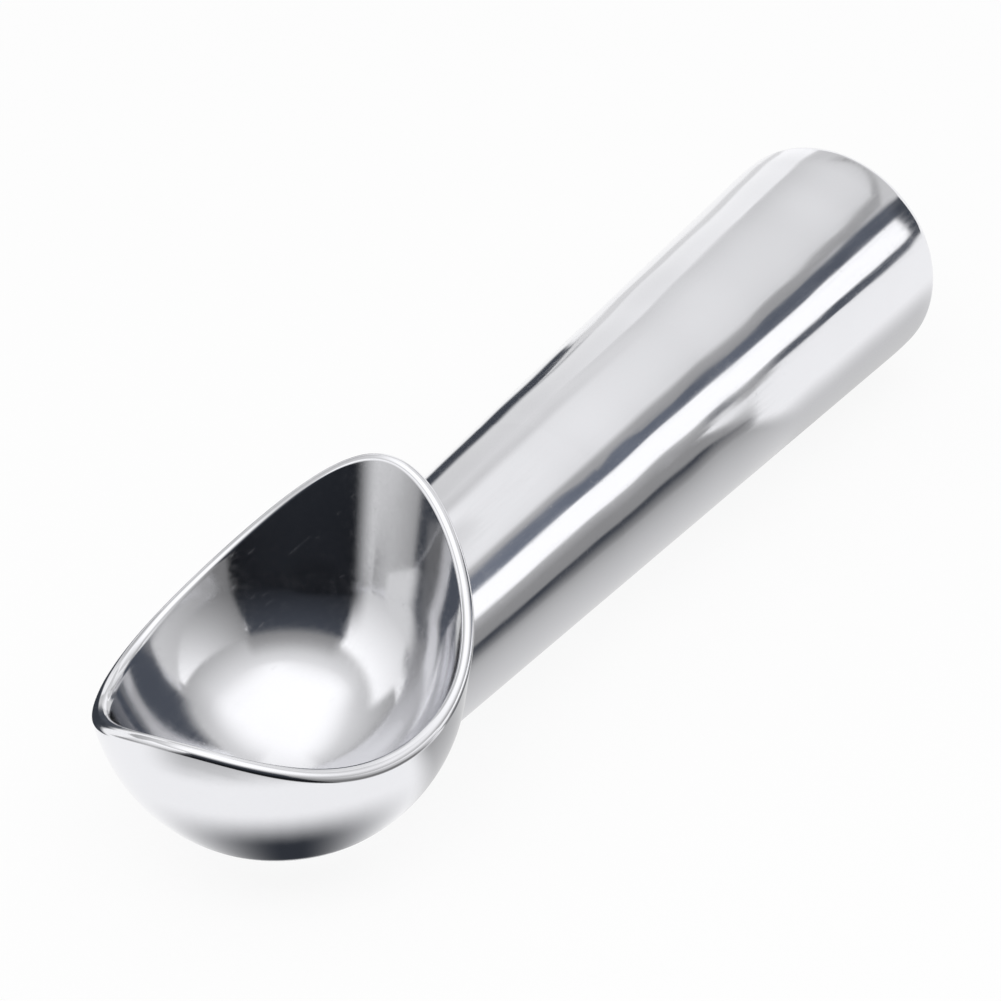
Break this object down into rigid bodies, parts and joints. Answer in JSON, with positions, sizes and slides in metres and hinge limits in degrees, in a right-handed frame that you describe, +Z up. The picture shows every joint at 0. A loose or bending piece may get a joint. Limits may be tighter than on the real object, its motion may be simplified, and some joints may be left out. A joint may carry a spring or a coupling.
{
  "type": "ice cream scoop",
  "caption": "Polished cast aluminium ice cream scoop: a round bowl with a saddle-shaped rim on a thick tapered handle, hollow and filled with heat-transfer fluid.",
  "frame": {"origin": "on the table that the scoop lies on, under the middle of its length", "axes": "+X from the bowl's lip towards the handle's butt, +Z up out of the bowl's mouth, XZ the mirror plane"},
  "size_m": [0.1822, 0.0504, 0.0435],
  "materials": {
    "casting": "polished casting",
    "fluid": "clear liquid",
    "plug": "turned",
    "seal": "matte",
    "cap": "turned satin"
  },
  "bodies": {
    "root": {"scoop_casting": "casting", "heat_transfer_fluid": "fluid", "sealing_plug": "plug", "plug_o_ring": "seal", "end_cap": "cap"}
  },
  "joints": []
}
